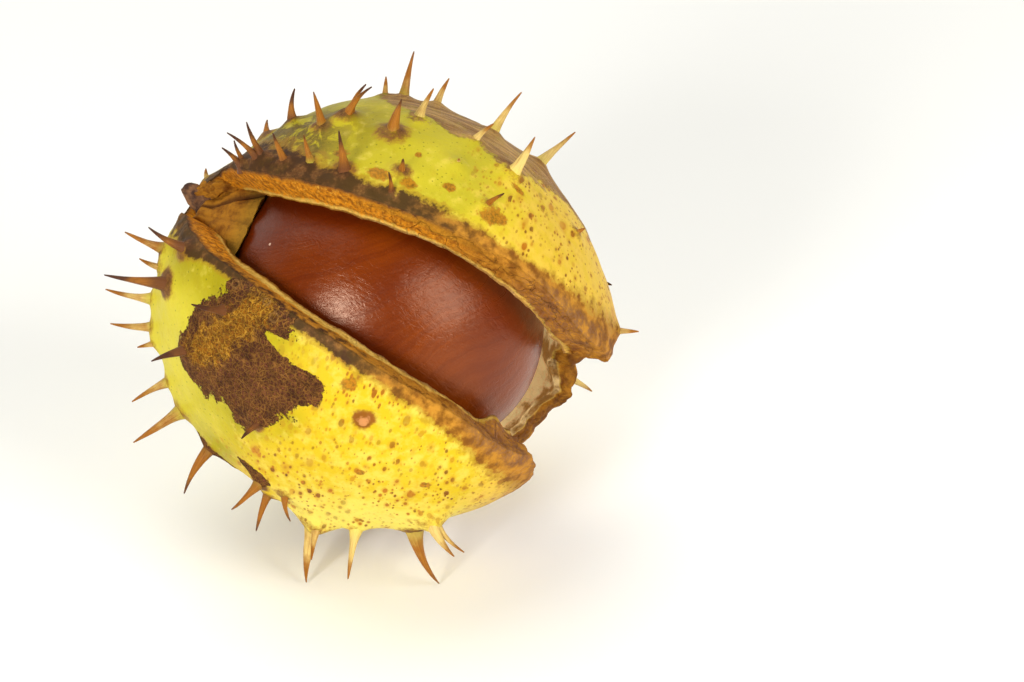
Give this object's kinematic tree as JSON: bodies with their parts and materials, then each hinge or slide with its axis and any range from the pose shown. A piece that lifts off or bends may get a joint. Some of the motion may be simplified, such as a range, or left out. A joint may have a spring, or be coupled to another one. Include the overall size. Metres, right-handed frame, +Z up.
{
  "type": "horse chestnut in its husk",
  "caption": "Ripe horse chestnut lying in its split spiny husk: glossy brown nut seen through a long gap between thick green-yellow valves with sharp spines.",
  "frame": {"origin": "on the floor, under the middle of the overall box", "axes": "+X along the longest extent, towards the open tip of the husk; the split faces -Y and upwards; +Z up from the floor the spine tips stand on"},
  "size_m": [0.0584, 0.0504, 0.0544],
  "materials": {
    "husk_skin": "matt green to yellow skin with brown scurf, corky brown cut edges",
    "seed_coat": "smooth and glossy mahogany brown"
  },
  "bodies": {
    "root": {"husk": "husk_skin", "seed": "seed_coat"}
  },
  "joints": []
}
